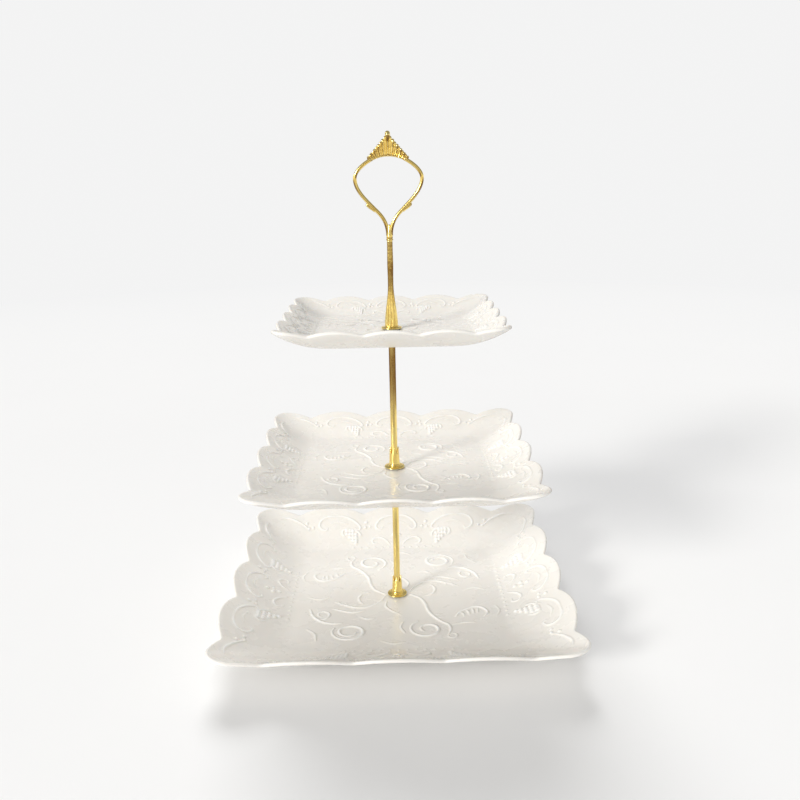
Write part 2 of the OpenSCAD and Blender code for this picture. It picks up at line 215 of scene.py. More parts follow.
def flange_strokes(shape):
    """Arches inside the lobes, grape bunches below the outer two, and dots at the notches."""
    scale = shape.half / REFERENCE_HALF
    out = []

    def on_flange(side, s, t):
        """Plan point at distance s along the side and share t out on the flange."""
        s, t = np.broadcast_arrays(np.array(s, float), np.array(t, float))
        h = shape.well + shape.run * t
        r = mix(WELL_CORNER * shape.well, RIM_CORNER * shape.half, t)
        q = s * h / shape.half / (h - r + math.pi * r / 4)
        return shape.place(np.full(s.shape, side), q, h, t, 0 * t)[..., :2] / scale

    def stroke(side, line, width, height):
        s, t = np.array(line).T
        out.append(Stroke(spline(on_flange(side, s * scale, t)), width, height))

    def dot(side, s, t, radius=1.5, height=0.85):
        p = on_flange(side, s * scale, t)
        out.append(Stroke(np.array([p, p]), radius, height))

    for side in range(4):
        for centre in (-59, 0, 59):
            for sign in (-1, 1):
                leg = [(0, 0.83), (8, 0.825), (15, 0.78), (20, 0.69), (21, 0.6), (17, 0.55), (14, 0.6)]
                stroke(side, [(centre + sign * s, t) for s, t in leg], 1.1, 0.6)
            stroke(side, [(centre - 9, 0.67), (centre, 0.71), (centre + 9, 0.67)], 0.8, 0.4)
        for sign in (-1, 1):
            leg = [(93, 0.62), (94, 0.72), (99, 0.8), (107, 0.83), (115, 0.82)]
            stroke(side, [(sign * s, t) for s, t in leg], 1.1, 0.6)
            for notch in (29.6, 88.8):
                dot(side, sign * notch, 0.78)
                dot(side, sign * (notch + 2.6), 0.64, 1.25)
                dot(side, sign * (notch - 2.6), 0.66, 1.1)
            for row, count in ((0.52, 3), (0.44, 4), (0.36, 3), (0.28, 2), (0.21, 1)):
                for k in range(count):
                    dot(side, sign * (51 + 3.4 * (k - (count - 1) / 2)), row, 1.75, 0.95)
            for reach in (-1, 1):
                leaf = [(51, 0.56), (51 + 6 * reach, 0.54), (51 + 10 * reach, 0.46), (51 + 9 * reach, 0.38)]
                stroke(side, [(sign * s, t) for s, t in leaf], 1.1, 0.6)
            scroll = [(8, 0.16), (14, 0.3), (22, 0.36), (29, 0.3), (29, 0.2), (24, 0.2)]
            stroke(side, [(sign * s, t) for s, t in scroll], 1.05, 0.6)
        for s, t in ((0, 0.5), (-3.5, 0.4), (3.5, 0.4), (0, 0.3)):
            dot(side, s, t, 1.6, 0.8)
        for k in range(-6, 7):
            dot(side, k * 9.6, 0.07, 1.0, 0.45)
    return out


def relief(xy, strokes, scale):
    """Height of the relief at each plan point, in mm."""
    out = np.zeros(len(xy))
    for s in strokes:
        line, reach = s.points * scale, s.width * scale * BOLD
        low, high = line.min(0) - reach, line.max(0) + reach
        near = np.nonzero(np.all((xy > low) & (xy < high), 1))[0]
        if not len(near):
            continue
        p, a = xy[near], line[:-1]
        d = line[1:] - a
        length = np.maximum((d ** 2).sum(1), 1e-12)
        u = np.clip(((p[:, None] - a) * d).sum(2) / length, 0, 1)
        gap = np.sqrt(((p[:, None] - a - u[..., None] * d) ** 2).sum(2))
        k = gap.argmin(1)
        rows = np.arange(len(p))
        along = (k + u[rows, k]) / len(a)
        taper = 0.5 + 0.5 * np.sin(math.pi * np.clip(along, 0, 1)) ** 0.6 if len(a) > 1 else 1.0
        w = reach * taper
        crest = np.clip(1 - (gap[rows, k] / w) ** 2, 0, 1) ** 1.3
        out[near] = np.maximum(out[near], s.height * HIGH * scale ** 0.6 * taper * crest)
    return out


# ---------------------------------------------------------------- plates: mesh
def lattice(shape, cells):
    """Plan of the top: side, place on the side and half-width of each fine lattice point."""
    m = cells * SPLIT
    line = np.arange(-m, m + 1)
    i, j = (v.ravel() for v in np.meshgrid(line, line, indexing="ij"))
    n = np.maximum(np.abs(i), np.abs(j))
    side = np.select([i == n, j == n, -i == n], [0, 1, 2], 3)
    along = np.select([side == 0, side == 1, side == 2], [j, -i, -j], i)
    q = along / np.maximum(n, 1)
    hole = HOLE_CELLS * SPLIT
    h = HOLE_R + (n - hole) / (m - hole) * (shape.top_half - HOLE_R)
    return side, q, np.maximum(h, 0.01), n, 2 * m + 1


def busy_cells(height, n, cells, wide):
    """Cells that hold relief or the hole's edge."""
    keep = (height > 0) | (n <= HOLE_CELLS * SPLIT)
    keep = keep.reshape(wide, wide)
    block = np.zeros((2 * cells, 2 * cells), bool)
    for di in range(SPLIT + 1):
        for dj in range(SPLIT + 1):
            block |= keep[di:di + wide - SPLIT:SPLIT, dj:dj + wide - SPLIT:SPLIT][:2 * cells, :2 * cells]
    return block


def cell_faces(busy, cells, wide):
    """Faces of the top as lists of lattice keys."""
    faces = []
    inside = range(cells - HOLE_CELLS, cells + HOLE_CELLS)
    size = 2 * cells

    def fine(a, b):
        return 0 <= a < size and 0 <= b < size and busy[a, b]

    for a in range(size):
        for b in range(size):
            if a in inside and b in inside:
                continue
            i0, j0 = a * SPLIT, b * SPLIT
            if busy[a, b]:
                for di in range(SPLIT):
                    base = (i0 + di) * wide + j0
                    faces += [(k, k + wide, k + wide + 1, k + 1) for k in range(base, base + SPLIT)]
                continue
            ring = []
            edges = (((i0, j0), (1, 0), (a, b - 1)),
                     ((i0 + SPLIT, j0), (0, 1), (a + 1, b)),
                     ((i0 + SPLIT, j0 + SPLIT), (-1, 0), (a, b + 1)),
                     ((i0, j0 + SPLIT), (0, -1), (a - 1, b)))
            for (i, j), (di, dj), neighbour in edges:
                steps = SPLIT if fine(*neighbour) else 1
                ring += [(i + di * k) * wide + j + dj * k for k in range(steps)]
            faces.append(tuple(ring))
    return faces


def edge_keys(used, n, side, q, ring):
    """Used lattice keys of one square ring, in order round it from the corner of side 0."""
    keys = np.nonzero(used & (n == ring))[0]
    return keys[np.argsort(side[keys] * 2 + q[keys])]


def under_profile(shape):
    """Half-width, flange share and height of each ring, from the lip's end to the hole."""
    out = []
    for t in np.linspace(1, 0, 9)[1:]:
        h = shape.well + shape.run * t + LIP_R * math.sin(shape.lip_angle()) * 2 * t
        out.append((h, t, shape.flange_height(t) - mix(UNDER_DROP, LIP_DROP, t)))
    under, foot, deep = -FLOOR_T, FOOT_SHARE * shape.half, shape.foot
    rings = [(mix(shape.well, foot, 0.5), under + 0.7), (foot + 1.5, under + 0.12)]
    rings.append((foot + 0.3, under - 0.15))
    rings += [(foot - FOOT_TAPER, under - deep + FOOT_ROUND), (foot - FOOT_TAPER - FOOT_ROUND, under - deep)]
    inner = foot - FOOT_WALL
    rings += [(inner + FOOT_ROUND, under - deep), (inner, under - deep + FOOT_ROUND)]
    rings += [(inner - FOOT_TAPER, under - 0.25), (inner - FOOT_TAPER - 0.8, under)]
    rings += [(mix(SEAT_R, inner, k), under) for k in (0.66, 0.33, 0)]
    return out + [(h, 0.0, z) for h, z in rings]


def zip_rings(outer, inner, angle):
    """Triangles between two closed rings of indices with different counts, by angle."""
    outer = sorted(outer, key=lambda k: angle[k])
    inner = sorted(inner, key=lambda k: angle[k])
    faces, i, j = [], 0, 0
    while i < len(outer) or j < len(inner):
        a, b = outer[i % len(outer)], inner[j % len(inner)]
        step_outer = (i + 1) / len(outer) <= (j + 1) / len(inner)
        if step_outer and i < len(outer):
            i += 1
            faces.append((a, b, outer[i % len(outer)]))
        else:
            j += 1
            faces.append((a, b, inner[j % len(inner)]))
    return faces


def make_plate(plate, materials):
    shape = PlateShape(plate)
    scale = shape.half / REFERENCE_HALF
    side, q, h, n, wide = lattice(shape, plate.cells)
    points = shape.top(side, q, h)
    strokes = scroll_strokes() + flange_strokes(shape)
    height = relief(points[:, :2], strokes, scale)
    busy = busy_cells(height, n, plate.cells, wide)
    faces = cell_faces(busy, plate.cells, wide)
    used = np.zeros(len(points), bool)
    used[np.unique(np.concatenate([np.array(f) for f in faces]))] = True
    rim = edge_keys(used, n, side, q, plate.cells * SPLIT)
    rim_side, rim_q = side[rim], q[rim]
    rings, tilt = [], shape.lip_angle()
    ones = np.ones(len(rim))
    for phi in np.linspace(math.pi / 2 + tilt, -math.pi / 2 + tilt, 9)[1:]:
        out_by = LIP_R * (math.sin(tilt) + math.cos(phi))
        up_by = LIP_R * (math.sin(phi) - math.cos(tilt))
        z = shape.floor + shape.rise + up_by
        rings.append(shape.place(rim_side, rim_q, shape.top_half * ones, ones, z * ones, -out_by))
    for ring_h, t, z in under_profile(shape):
        rings.append(shape.place(rim_side, rim_q, ring_h * ones, t * ones, (shape.floor + z) * ones))
    compact = np.cumsum(used) - 1
    count = int(used.sum())
    verts = np.vstack([points[used]] + rings)
    faces = [tuple(compact[list(f)]) for f in faces]
    loops = [compact[rim]] + [count + k * len(rim) + np.arange(len(rim)) for k in range(len(rings))]
    first_under = len(faces)
    for a, b in zip(loops[:-1], loops[1:]):
        a2, b2 = np.roll(a, -1), np.roll(b, -1)
        faces += list(zip(a.tolist(), b.tolist(), b2.tolist(), a2.tolist()))
    hole = edge_keys(used, n, side, q, HOLE_CELLS * SPLIT)
    wall = points[hole] - [0, 0, FLOOR_T]
    wall_loop = len(verts) + np.arange(len(hole))
    verts = np.vstack([verts, wall])
    top_loop = compact[hole]
    faces += list(zip(np.roll(top_loop, -1).tolist(), np.roll(wall_loop, -1).tolist(),
                      wall_loop.tolist(), top_loop.tolist()))
    angle = np.arctan2(verts[:, 1], verts[:, 0])
    faces += zip_rings(loops[-1].tolist(), wall_loop.tolist(), angle)
    obj = new_mesh(plate.node.replace("_plate", "_dish"), verts, faces, materials)
    mesh = obj.data
    normals = np.zeros(len(verts) * 3, np.float32)
    mesh.vertices.foreach_get("normal", normals)
    lift = np.zeros(len(verts))
    lift[:count] = height[used]
    moved = verts + normals.reshape(-1, 3) * lift[:, None]
    mesh.vertices.foreach_set("co", (moved * MM).astype(np.float32).ravel())
    attribute = mesh.attributes.new("relief", "FLOAT", "POINT")
    attribute.data.foreach_set("value", np.clip(lift / 0.7, 0, 1).astype(np.float32))
    foot_low = shape.floor - FLOOR_T - shape.foot + FOOT_ROUND * 1.2
    for face in mesh.polygons[first_under:]:
        if face.center.z < foot_low * MM or max(moved[v][2] for v in face.vertices) < foot_low:
            face.material_index = 1
    mesh.update()
    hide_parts(plate.node)
    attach(obj, plate.body)


# ---------------------------------------------------------------- mesh helpers
def new_mesh(name, verts, faces, materials):
    """Smooth-shaded mesh object from points in mm."""
    mesh = bpy.data.meshes.new(name)
    mesh.from_pydata((np.asarray(verts, float) * MM).tolist(), [], faces)
    for material in materials:
        mesh.materials.append(material)
    mesh.update()
    mesh.shade_smooth()
    obj = bpy.data.objects.new(name, mesh)
    bpy.context.scene.collection.objects.link(obj)
    return obj


def loft(name, rings, material, cap=True):
    """Skin over rings of equal counts. Each end is closed with a fan."""
    rings = [np.asarray(r, float) for r in rings]
    n = len(rings[0])
    verts = np.vstack(rings)
    k = np.arange(n)
    faces = []
    for i in range(len(rings) - 1):
        a, b = i * n + k, i * n + np.roll(k, -1)
        faces += list(zip(a.tolist(), b.tolist(), (b + n).tolist(), (a + n).tolist()))
    if cap:
        for ring, flip in ((0, True), (len(rings) - 1, False)):
            verts = np.vstack([verts, rings[ring].mean(0)])
            centre, base = len(verts) - 1, ring * n
            for j in range(n):
                a, b = base + j, base + (j + 1) % n
                faces.append((b, a, centre) if flip else (a, b, centre))
    return new_mesh(name, verts, faces, [material])


def rounded(profile, radius, steps=3):
    """Profile with each inner corner turned into a small arc."""
    p = np.array(profile, float)
    out = [p[0]]
    for a, b, c in zip(p[:-2], p[1:-1], p[2:]):
        u, v = a - b, c - b
        r = min(radius, np.hypot(*u) * 0.45, np.hypot(*v) * 0.45)
        u, v = b + u / np.hypot(*u) * r, b + v / np.hypot(*v) * r
        for t in np.linspace(0, 1, steps + 1):
            out.append((1 - t) ** 2 * u + 2 * (1 - t) * t * b + t ** 2 * v)
    return np.array(out + [p[-1]])


def circle_ring(r, z, n):
    a = np.arange(n) / n * TAU
    return np.stack([r * np.cos(a), r * np.sin(a), np.full(n, z)], -1)


def lathe(name, profile, material, n=72, closed=False):
    """Turned piece. A closed profile comes back to its first point, as on a washer."""
    profile = [tuple(p) for p in profile]
    if closed:
        profile.append(profile[0])
    rings = [circle_ring(r, z, n) for r, z in profile]
    return loft(name, rings, material, cap=not closed)


def carry(obj, node, body):
    """The piece stands for the node and rides on its body."""
    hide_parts(node)
    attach(obj, body)
    return obj


BODY_OF = {n: b for b, nodes in frame["record"]["behaviour"]["bodies"].items() for n in nodes}

# ---------------------------------------------------------------- column, in mm
THREAD_R, THREAD_PITCH, THREAD_DEPTH = 2.0, 0.7, 0.32
STUD_H = 15.55            # a rod's turned-down upper end, threaded all the way
SOCKET_R, SOCKET_H = 2.05, 7.75
SNUG_R = 2.41             # a foot's mouth, just wider than its rod
CLEAR_R = 2.15            # bore of discs and washers
SEAT_GAP = 0.015          # between a washer and what it lies on, so that their faces never coincide


def threaded(r0, r1, z0, z1, n=48):
    """Rings of a screw thread from z0 up to z1, with a chamfer at each end."""
    rows = int((z1 - z0) / THREAD_PITCH * 8)
    a = np.arange(n) / n * TAU
    rings = []
    for k in range(rows + 1):
        z = z0 + (z1 - z0) * k / rows
        phase = (z / THREAD_PITCH - a / TAU) % 1
        cut = THREAD_DEPTH * (1 - np.abs(2 * phase - 1)) ** 1.1
        fade = min(1, (z - z0) / THREAD_PITCH, (z1 - z) / THREAD_PITCH + 0.2)
        r = mix(r0, r1, max(0, 1 - (z1 - z) / 0.6)) - cut * max(0, fade)
        rings.append(np.stack([r * np.cos(a), r * np.sin(a), np.full(n, z)], -1))
    return rings


def make_rod(node, material):
    low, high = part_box(node)
    rod_r, z0, tip = (high.x - low.x) / 2 / MM, low.z / MM, high.z / MM
    shoulder = tip - STUD_H
    n = 48
    edge = rounded([(0.01, z0), (rod_r, z0), (rod_r, shoulder), (THREAD_R, shoulder),
                    (THREAD_R, shoulder + 0.1)], 0.3)
    rings = [circle_ring(r, z, n) for r, z in edge]
    rings += threaded(THREAD_R, THREAD_R - 0.5, shoulder + 0.15, tip - 0.05)
    rings.append(circle_ring(THREAD_R - 0.6, tip, n))
    return carry(loft(node.replace("_rod", "_shaft"), rings, material), node, BODY_OF[node])


def make_rod_foot(node, material, leaves=4):
    """Flared foot whose skin rises into pointed leaves that lie along the rod."""
    low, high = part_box(node)
    base, foot_h = low.z / MM, (high.z - low.z) / MM
    n = 96
    a = np.arange(n) / n * TAU
    leaf = np.abs(((a / TAU * leaves) % 1) * 2 - 1)          # 1 on a leaf's middle line, 0 between two
    edge_h = foot_h - 5.6 * (1 - leaf ** 0.75)
    vein = 0.16 * np.exp(-((1 - leaf) / 0.16) ** 2)
    valley = 0.34 * np.exp(-(leaf / 0.2) ** 2)

    def ring(r, z, lift=0.0):
        return np.stack([(r + lift) * np.cos(a), (r + lift) * np.sin(a), base + z], -1)

    flat = np.ones(n)
    skirt = rounded([(SOCKET_R, 0), (4.3, 0), (4.3, 0.75), (3.85, 1.25), (3.95, 2.0)], 0.28)
    rings = [ring(r * flat, z * flat) for r, z in skirt]
    for k in range(1, 25):
        v = k / 24
        z = mix(2.0, edge_h, v)
        body = 3.95 - 0.5 * smooth(z / 9.5) - 0.75 * smooth((z - 8) / 7)
        flare = 0.42 * smooth((z - 9) / 5) * leaf
        rings.append(ring(body + flare, z, vein * smooth(v * 2) - valley * smooth(v * 1.6) * 0.8))
    last = rings[-1]
    r_top = np.hypot(last[:, 0], last[:, 1])
    rings.append(ring(r_top - 0.12, edge_h + 0.14))
    rings.append(ring(r_top - 0.34, edge_h + 0.1))
    rings.append(ring(mix(r_top, SNUG_R, 0.9), edge_h - 0.6))
    rings.append(ring(SNUG_R * flat, (SOCKET_H + 0.05) * flat))
    rings.append(ring(SOCKET_R * flat, SOCKET_H * flat))
    rings.append(rings[0])
    obj = loft(node.replace("_foot", "_calyx"), rings, material, cap=False)
    return carry(obj, node, BODY_OF[node])


def make_disc(node, material):
    low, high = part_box(node)
    z, t, r = low.z / MM, (high.z - low.z) / MM, (high.x - low.x) / 2 / MM
    profile = rounded([(CLEAR_R, z), (r - 0.2, z), (r, z + 0.3), (r - 0.15, z + 0.75), (6.1, z + 0.85),
                       (5.5, z + 1.1), (4.7, z + 0.95), (4.6, z + t), (CLEAR_R, z + t)], 0.22)
    obj = lathe(node.replace("_disc", "_rosette"), profile, material, 96, True)
    return carry(obj, node, BODY_OF[node])


def make_washer(node, material, slot_name):
    low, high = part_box(node)
    z0, z1, r = low.z / MM + SEAT_GAP, high.z / MM - SEAT_GAP, (high.x - low.x) / 2 / MM
    bulge = 0.12 if slot_name == "clear_pad" else 0.0
    profile = rounded([(CLEAR_R, z0), (r - bulge, z0), (r, mix(z0, z1, 0.5)), (r - bulge, z1),
                       (CLEAR_R, z1)], 0.25)
    obj = lathe(node + "_ring", profile, material, 64, True)
    return carry(obj, node, BODY_OF[node])


# ---------------------------------------------------------------- handle, in mm above its foot
STEM_H, RING_H = 60.0, 1.6
LOOP_Z = STEM_H + RING_H
FOOT_R, NECK_R, FLARE_H = 4.6, 1.95, 30.0
FLUTES = 10
ARM_R = 1.25
THROAT, WAIST = np.array([1.1, LOOP_Z + 1.6]), np.array([9.9, LOOP_Z + 20])
SHOULDER, CROWN_END = np.array([22.95, LOOP_Z + 40.4]), np.array([11.2, LOOP_Z + 53])
CROWN_FOCUS = LOOP_Z + 30.4
CROWN_START, CROWN_FOOT, CROWN_TIP = 24.1, 28.2, 40.2     # distances from the focus
CROWN_RIBS, CROWN_HALF = 11, math.radians(28)
BEAD_R = 1.75
HANDLE_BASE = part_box("handle_stem")[0].z / MM


def cubic(a, b, c, d, t):
    t = t[:, None]
    return (1 - t) ** 3 * a + 3 * (1 - t) ** 2 * t * b + 3 * (1 - t) * t * t * c + t ** 3 * d


def stem_radius(s):
    fall = (1 + np.cos(math.pi * np.minimum(s, FLARE_H) / FLARE_H)) / 2
    flare = (FOOT_R - NECK_R) * fall
    swell = np.where(np.abs(s - 44) < 11, 0.15 * (1 + np.cos(TAU * (s - 44) / 22)) / 2, 0)
    return NECK_R + flare + swell


def make_stem(material):
    n = 120
    a = np.arange(n) / n * TAU
    rings = [circle_ring(SOCKET_R, HANDLE_BASE + SOCKET_H, n), circle_ring(SOCKET_R, HANDLE_BASE, n)]
    for s in np.concatenate([[0, 0.12, 0.35], np.linspace(0.8, STEM_H - 0.3, 110), [STEM_H]]):
        fade = max(0.1, 1 - s / 30)
        groove = np.abs(np.cos(FLUTES * a / 2)) ** 1.1
        r = stem_radius(np.float64(s)) - 0.95 * fade * (1 - groove) * min(1, 0.3 + s / 1.2)
        if s < 0.35:
            r = r - (0.35 - s) * 0.6
        if s > STEM_H - 0.2:
            r = r - 0.15
        rings.append(np.stack([r * np.cos(a), r * np.sin(a), np.full(n, HANDLE_BASE + s)], -1))
    rings.append(circle_ring(1.1, HANDLE_BASE + STEM_H, n))
    rings.append(circle_ring(1.1, HANDLE_BASE + STEM_H + 4.3, n))
    return carry(loft("handle_shaft", rings, material), "handle_stem", "handle")


def make_neck(material):
    low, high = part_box("neck_ring")
    z0, z1, r = low.z / MM, high.z / MM, (high.x - low.x) / 2 / MM
    t = np.linspace(-math.pi / 2, math.pi / 2, 13)
    bead = [(r - 0.55 + 0.55 * math.cos(x), mix(z0, z1, (1 + math.sin(x)) / 2)) for x in t]
    profile = [(1.12, z0)] + bead + [(1.12, z1)]
    return carry(lathe("neck_bead", profile, material, 64, True), "neck_ring", "handle")


def tube(path, radius, n=24, flat=1.0):
    """Rings round a path in the XZ plane. radius is one value for each point."""
    tangent = np.gradient(path, axis=0)
    tangent /= np.linalg.norm(tangent, axis=1)[:, None]
    a = np.arange(n) / n * TAU
    rings = []
    for p, t, r in zip(path, tangent, radius):
        u, v = r * np.cos(a), r * np.sin(a) * flat
        rings.append(np.stack([p[0] + u * t[1], v, HANDLE_BASE + p[1] - u * t[0]], -1))
    return rings


def join(name, objects):
    """One object from several, in order."""
    verts, faces, base = [], [], 0
    for o in objects:
        co = np.zeros(len(o.data.vertices) * 3, np.float32)
        o.data.vertices.foreach_get("co", co)
        verts.append(co.reshape(-1, 3) / MM)
        faces += [tuple(base + v for v in p.vertices) for p in o.data.polygons]
        base += len(o.data.vertices)
    material = objects[0].data.materials[0]
    for o in objects:
        mesh = o.data
        bpy.data.objects.remove(o)
        bpy.data.meshes.remove(mesh)
    return new_mesh(name, np.vstack(verts), faces, [material])


def mirrored(rings):
    return [r[::-1] * [-1, 1, 1] for r in rings]


def make_loop(material):
    t = np.linspace(0, 1, 26)
    path = np.vstack([
        cubic(THROAT, THROAT + [-0.1, 9.4], WAIST - [4.6, 4.4], WAIST, t)[:-1],
        cubic(WAIST, WAIST + [4.6, 5], SHOULDER - [0, 8.4], SHOULDER, t)[:-1],
        cubic(SHOULDER, SHOULDER + [0, 5], CROWN_END + [5, -2.6], CROWN_END, t)])
    radius = np.full(len(path), ARM_R)
    arm = tube(path, radius)
    along = np.linspace(0, 1, 14)
    nub = cubic(WAIST + [-0.6, -1.6], WAIST + [1.6, 0.8], WAIST + [4.0, 1.2], WAIST + [5.7, 3.5], along)
    nub_r = np.interp(along, [0, 0.35, 0.7, 0.93, 1], [1.1, 1.25, 1.1, 0.85, 0.3])
    leaf = tube(nub, nub_r, 20, 0.9)
    parts = []
    for k, rings in enumerate((arm, mirrored(arm), leaf, mirrored(leaf))):
        parts.append(loft(f"loop_part_{k}", rings, material))
    web = rounded([(1.12, LOOP_Z), (2.2, LOOP_Z), (2.15, LOOP_Z + 1.2), (0.95, LOOP_Z + 8.6),
                   (0.3, LOOP_Z + 9.4)], 0.5)
    rings = [circle_ring(r, HANDLE_BASE + z, 48) * [1, 0.82 if z > LOOP_Z + 2 else 1, 1] for r, z in web]
    parts.append(loft("loop_part_web", rings, material))
    return carry(join("handle_arms", parts), "handle_loop", "handle")


def rib_reach(a):
    """Distance from the focus to the crown's straight edge, which runs from the tip to either foot."""
    foot_x, foot_z = CROWN_FOOT * math.sin(CROWN_HALF), CROWN_FOOT * math.cos(CROWN_HALF)
    return CROWN_TIP / (math.cos(a) + math.sin(abs(a)) * (CROWN_TIP - foot_z) / foot_x)


def make_crown(material):
    """Ribs that fan out from a focus below the crown, lesser ribs between them, and a bead at the tip."""
    parts = []
    focus, steps = np.array([0, CROWN_FOCUS]), 24
    share = np.linspace(0, 1, steps)
    for k, a in enumerate(np.linspace(-CROWN_HALF, CROWN_HALF, 2 * CROWN_RIBS - 1)):
        main_rib = k % 2 == 0
        way = np.array([math.sin(a), math.cos(a)])
        along = np.linspace(CROWN_START, rib_reach(a) - (0.5 if main_rib else 0.6), steps)
        girth = [0.5, 0.92, 0.95, 1.1, 1.3, 1.1, 0.3] if main_rib else [0.45, 0.85, 0.88, 1.0, 1.1, 0.9, 0.3]
        if abs(a) < 0.01:
            girth = [0.5, 0.9, 0.95, 1.2, 1.75, 1.8, 1.2]
        r = np.interp(share, [0, 0.06, 0.2, 0.6, 0.86, 0.95, 1], girth)
        bend = 0.7 * np.sin(math.pi * share) * a / CROWN_HALF
        path = focus + along[:, None] * way + bend[:, None] * np.array([way[1], -way[0]])
        parts.append(loft(f"rib_{k}", tube(path, r, 18, 1.25 if main_rib else 0.6), material))
    lat = np.linspace(-math.pi / 2 + 0.1, math.pi / 2 - 0.1, 14)
    centre = HANDLE_BASE + CROWN_FOCUS + CROWN_TIP - BEAD_R + 0.65
    bead = [(BEAD_R * math.cos(x), centre + BEAD_R * math.sin(x)) for x in lat]
    parts.append(lathe("crown_bead", bead, material, 32))
    return carry(join("crown_fan", parts), "crown_finial", "handle")


# ---------------------------------------------------------------- materials
class Nodes:
    """Short calls for building one material's node tree."""

    def __init__(self, name):
        self.material = bpy.data.materials.new(name)
        self.material.use_nodes = True
        self.tree = self.material.node_tree
        self.shader = self.tree.nodes["Principled BSDF"]

    def add(self, kind, **values):
        node = self.tree.nodes.new(kind)
        for key, value in values.items():
            if hasattr(node, key):
                setattr(node, key, value)
            else:
                node.inputs[key].default_value = value
        return node

    def link(self, a, b):
        self.tree.links.new(a, b)

    def noise(self, scale, detail=4.0, stretch=None, rough=0.55):
        """Noise over the object's own position, scale in cycles a metre."""
        source = self.add("ShaderNodeTexCoord").outputs["Object"]
        if stretch is not None:
            mapping = self.add("ShaderNodeMapping")
            mapping.inputs["Scale"].default_value = stretch
            self.link(source, mapping.inputs["Vector"])
            source = mapping.outputs["Vector"]
        node = self.add("ShaderNodeTexNoise")
        node.inputs["Scale"].default_value = scale
        node.inputs["Detail"].default_value = detail
        node.inputs["Roughness"].default_value = rough
        self.link(source, node.inputs["Vector"])
        return node.outputs["Fac"]

    def ramp(self, source, low, high, out_low, out_high):
        node = self.add("ShaderNodeMapRange")
        for key, value in (("From Min", low), ("From Max", high), ("To Min", out_low), ("To Max", out_high)):
            node.inputs[key].default_value = value
        self.link(source, node.inputs["Value"])
        return node.outputs["Result"]

    def blend(self, factor, a, b):
        node = self.add("ShaderNodeMix", data_type="RGBA")
        for value, socket in ((a, node.inputs[6]), (b, node.inputs[7])):
            if hasattr(value, "node"):
                self.link(value, socket)
            else:
                socket.default_value = (*value, 1)
        self.link(factor, node.inputs[0])
        return node.outputs[2]

    def bump(self, source, distance, strength, under=None):
        node = self.add("ShaderNodeBump")
        node.inputs["Strength"].default_value = strength
        node.inputs["Distance"].default_value = distance
        self.link(source, node.inputs["Height"])
        if under is not None:
            self.link(under, node.inputs["Normal"])
        return node.outputs["Normal"]

    def set(self, **values):
        for key, value in values.items():
            self.shader.inputs[key.replace("_", " ")].default_value = value


def porcelain():
    """Warm white glaze with painted shade beside the ridges and a painted highlight on their tops, a faint
    ripple and pinholes.
    """
    n = Nodes("porcelain_glaze")
    cloud = n.noise(18, 3)
    tone = n.blend(n.ramp(cloud, 0.35, 0.65, 0, 1), (0.83, 0.805, 0.76), (0.845, 0.825, 0.785))
    attribute = n.add("ShaderNodeAttribute", attribute_name="relief")
    # Painted shade: the glaze is tinted darker beige wherever the relief rises. It shows on the low flanks
    # of each ridge.
    flank_shade = n.blend(n.ramp(attribute.outputs["Fac"], 0.0, 0.12, 0, 0.25), tone, (0.755, 0.72, 0.65))
    # Painted highlight: the upper part of each ridge is tinted near white.
    ridge_highlight = n.blend(n.ramp(attribute.outputs["Fac"], 0.25, 0.7, 0, 1), flank_shade, (0.89, 0.88, 0.855))
    speck = n.ramp(n.noise(900, 2), 0.74, 0.8, 0, 0.3)
    n.link(n.blend(speck, ridge_highlight, (0.78, 0.74, 0.66)), n.shader.inputs["Base Color"])
    n.link(n.ramp(n.noise(60, 5), 0.3, 0.7, 0.22, 0.34), n.shader.inputs["Roughness"])
    ripple = n.bump(n.noise(130, 2), 0.0006, 0.08)
    n.link(n.bump(n.noise(1400, 2), 0.00008, 0.05, ripple), n.shader.inputs["Normal"])
    n.set(Subsurface_Weight=0.12, Subsurface_Scale=0.004, Coat_Weight=0.25, Coat_Roughness=0.14, IOR=1.5)
    n.shader.inputs["Subsurface Radius"].default_value = (1.0, 0.8, 0.6)
    return n.material


def bisque():
    """Bare ground foot ring: matt, grainy and a little stained."""
    n = Nodes("bare_foot")
    tone = n.blend(n.ramp(n.noise(220, 5), 0.35, 0.7, 0, 1), (0.78, 0.73, 0.65), (0.66, 0.6, 0.51))
    n.link(tone, n.shader.inputs["Base Color"])
    n.link(n.ramp(n.noise(500, 4), 0.3, 0.7, 0.7, 0.95), n.shader.inputs["Roughness"])
    n.link(n.bump(n.noise(2500, 4), 0.0002, 0.5), n.shader.inputs["Normal"])
    return n.material


def gilt(name, grain, cast, recess_shade_share):
    """Gold plate with a painted highlight on its edges and painted shade in its recesses. grain is the
    strength of the fine polishing lines, cast that of the casting's ripple, and the last argument that of
    the painted shade."""
    n = Nodes(name)
    tone = n.blend(n.ramp(n.noise(120, 4), 0.4, 0.68, 0, 1), (0.97, 0.77, 0.27), (0.94, 0.69, 0.2))
    tarnish = n.ramp(n.noise(45, 6, rough=0.7), 0.58, 0.72, 0, 0.35)
    dull = n.blend(tarnish, tone, (0.62, 0.4, 0.13))
    sharp = n.add("ShaderNodeNewGeometry").outputs["Pointiness"]
    # Painted shade: hollows, found by low pointiness, are tinted brown.
    recess_shade = n.blend(n.ramp(sharp, 0.5, 0.44, 0, recess_shade_share), dull, (0.42, 0.2, 0.05))
    # Painted highlight: pointed edges are tinted pale gold.
    edge = n.blend(n.ramp(sharp, 0.52, 0.57, 0, 0.8), recess_shade, (1.0, 0.84, 0.4))
    n.link(edge, n.shader.inputs["Base Color"])
    lines = n.noise(1.0, 3, (2600, 2600, 60))
    n.link(n.ramp(lines, 0.3, 0.7, 0.13, 0.27), n.shader.inputs["Roughness"])
    under = n.bump(n.noise(420, 3), 0.0004, cast)
    n.link(n.bump(lines, 0.00006, grain, under), n.shader.inputs["Normal"])
    n.set(Metallic=1.0)
    return n.material


